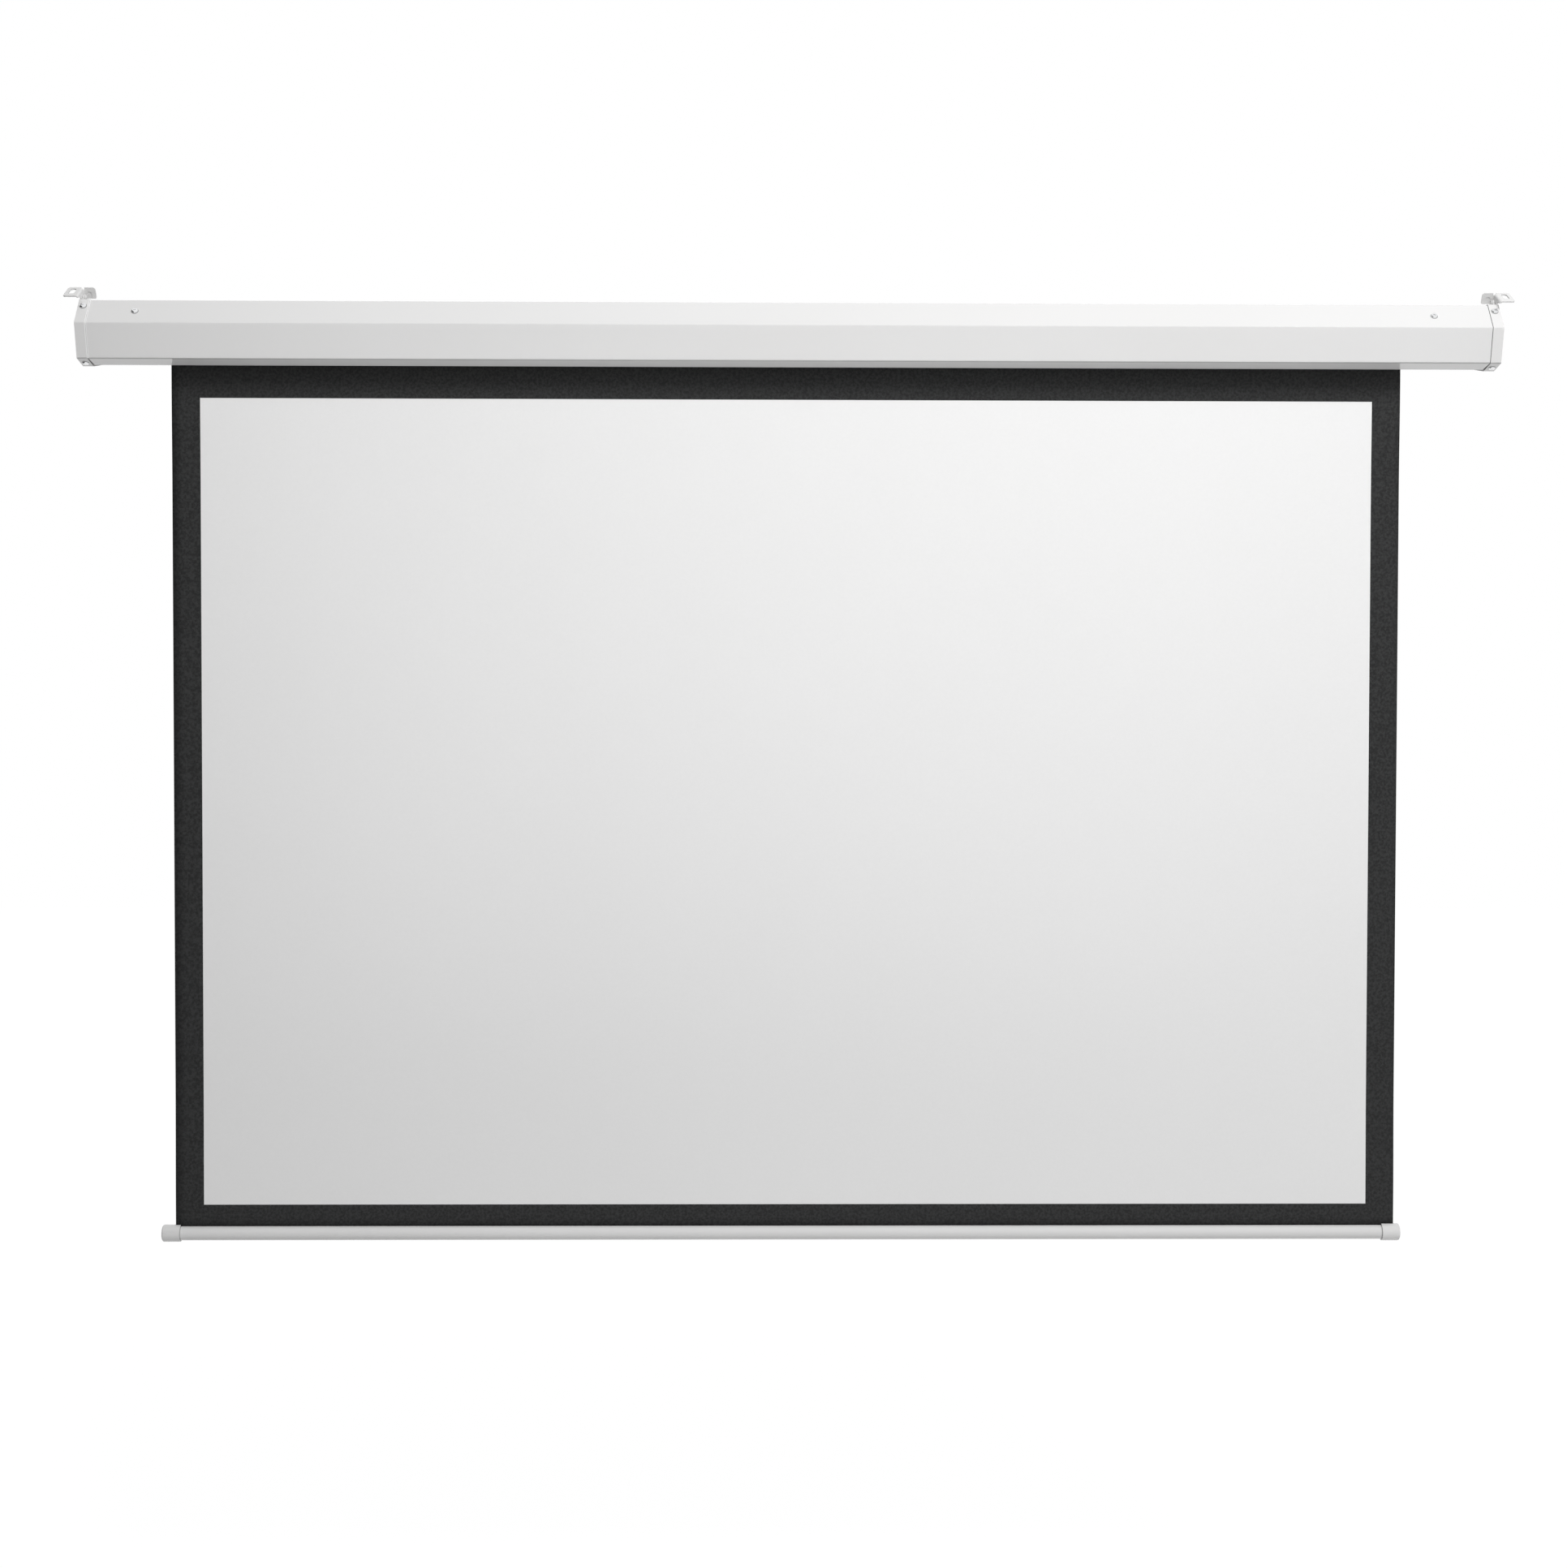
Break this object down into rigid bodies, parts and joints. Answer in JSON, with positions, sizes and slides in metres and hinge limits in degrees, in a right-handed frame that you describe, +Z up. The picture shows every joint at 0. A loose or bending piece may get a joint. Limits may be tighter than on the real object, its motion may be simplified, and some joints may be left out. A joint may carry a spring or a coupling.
{
  "type": "projection screen",
  "caption": "Electric roll-down projection screen with a white surface in a black border, a long folded case on swivel hanging brackets and a round weight bar.",
  "frame": {"origin": "middle of the case's flat back, which lies against the wall", "axes": "+Y into the wall, -Y towards the viewer, +X the viewer's right along the case, +Z up"},
  "size_m": [2.0746, 0.0917, 1.3806],
  "materials": {
    "case_paint": "smooth satin white powder coat",
    "cap_plastic": "moulded white plastic with a soft gloss",
    "bar_paint": "satin white paint",
    "bracket_paint": "satin white paint on bent steel",
    "plain_steel": "zinc-plated sheet",
    "chrome_plate": "bright plated fasteners",
    "tube_aluminium": "plain drawn tube",
    "black_plastic": "moulded black plastic",
    "grey_plastic": "moulded grey plastic",
    "black_rubber": "matt black rubber",
    "fabric_white": "matt white coated viewing surface",
    "fabric_black": "matt black coating on woven glass cloth"
  },
  "bodies": {
    "case": {"case_shell": "case_paint", "left_case_screw": "chrome_plate", "right_case_screw": "chrome_plate", "left_roller_bracket": "plain_steel", "right_roller_bracket": "plain_steel", "motor_head": "black_plastic", "motor_tube": "plain_steel", "motor_shaft": "plain_steel", "upper_limit_screw": "grey_plastic", "lower_limit_screw": "grey_plastic", "idler_bearing": "grey_plastic", "cable_grommet": "black_rubber", "motor_lead": "black_rubber", "viewing_surface": "fabric_white", "black_border": "fabric_black", "fabric_backing": "fabric_black", "left_end_cap": "cap_plastic", "left_end_plate": "bracket_paint", "left_cap_top_screw": "chrome_plate", "left_cap_under_screw": "chrome_plate", "left_pivot_bolt": "bracket_paint", "left_pivot_nut": "bracket_paint", "right_end_cap": "cap_plastic", "right_end_plate": "bracket_paint", "right_cap_top_screw": "chrome_plate", "right_cap_under_screw": "chrome_plate", "right_pivot_bolt": "bracket_paint", "right_pivot_nut": "bracket_paint"},
    "roller": {"roller_tube": "tube_aluminium", "drive_crown": "black_plastic", "limit_ring": "black_plastic", "idler_plug": "black_plastic", "idler_pin": "plain_steel", "fabric_roll": "fabric_black"},
    "weight_bar": {"bar_tube": "bar_paint", "hem_spline": "grey_plastic", "weight_rod": "plain_steel", "left_bar_cap": "cap_plastic", "right_bar_cap": "cap_plastic"},
    "left_swivel": {"left_bracket": "bracket_paint"},
    "right_swivel": {"right_bracket": "bracket_paint"}
  },
  "joints": [
    {"name": "screen_drop", "type": "slide", "parent": "case", "child": "weight_bar", "axis": [0, 0, 1], "range_m": [0, 1.238], "deforming": ["viewing_surface", "black_border", "fabric_backing"]},
    {"name": "roller_turn", "type": "hinge", "parent": "case", "child": "roller", "pos_m": [0, -0.05905, 0.003], "axis": [1, 0, 0], "range_deg": [0, 2620]},
    {"name": "left_bracket_turn", "type": "hinge", "parent": "case", "child": "left_swivel", "pos_m": [-1.017, -0.0497, 0.0515], "axis": [1, 0, 0], "range_deg": [-30, 0]},
    {"name": "right_bracket_turn", "type": "hinge", "parent": "case", "child": "right_swivel", "pos_m": [1.017, -0.0497, 0.0515], "axis": [1, 0, 0], "range_deg": [-30, 0]}
  ],
  "couplings": [
    {"joint": "roller_turn", "follows": "screen_drop", "rad_per_m": 36.9}
  ]
}
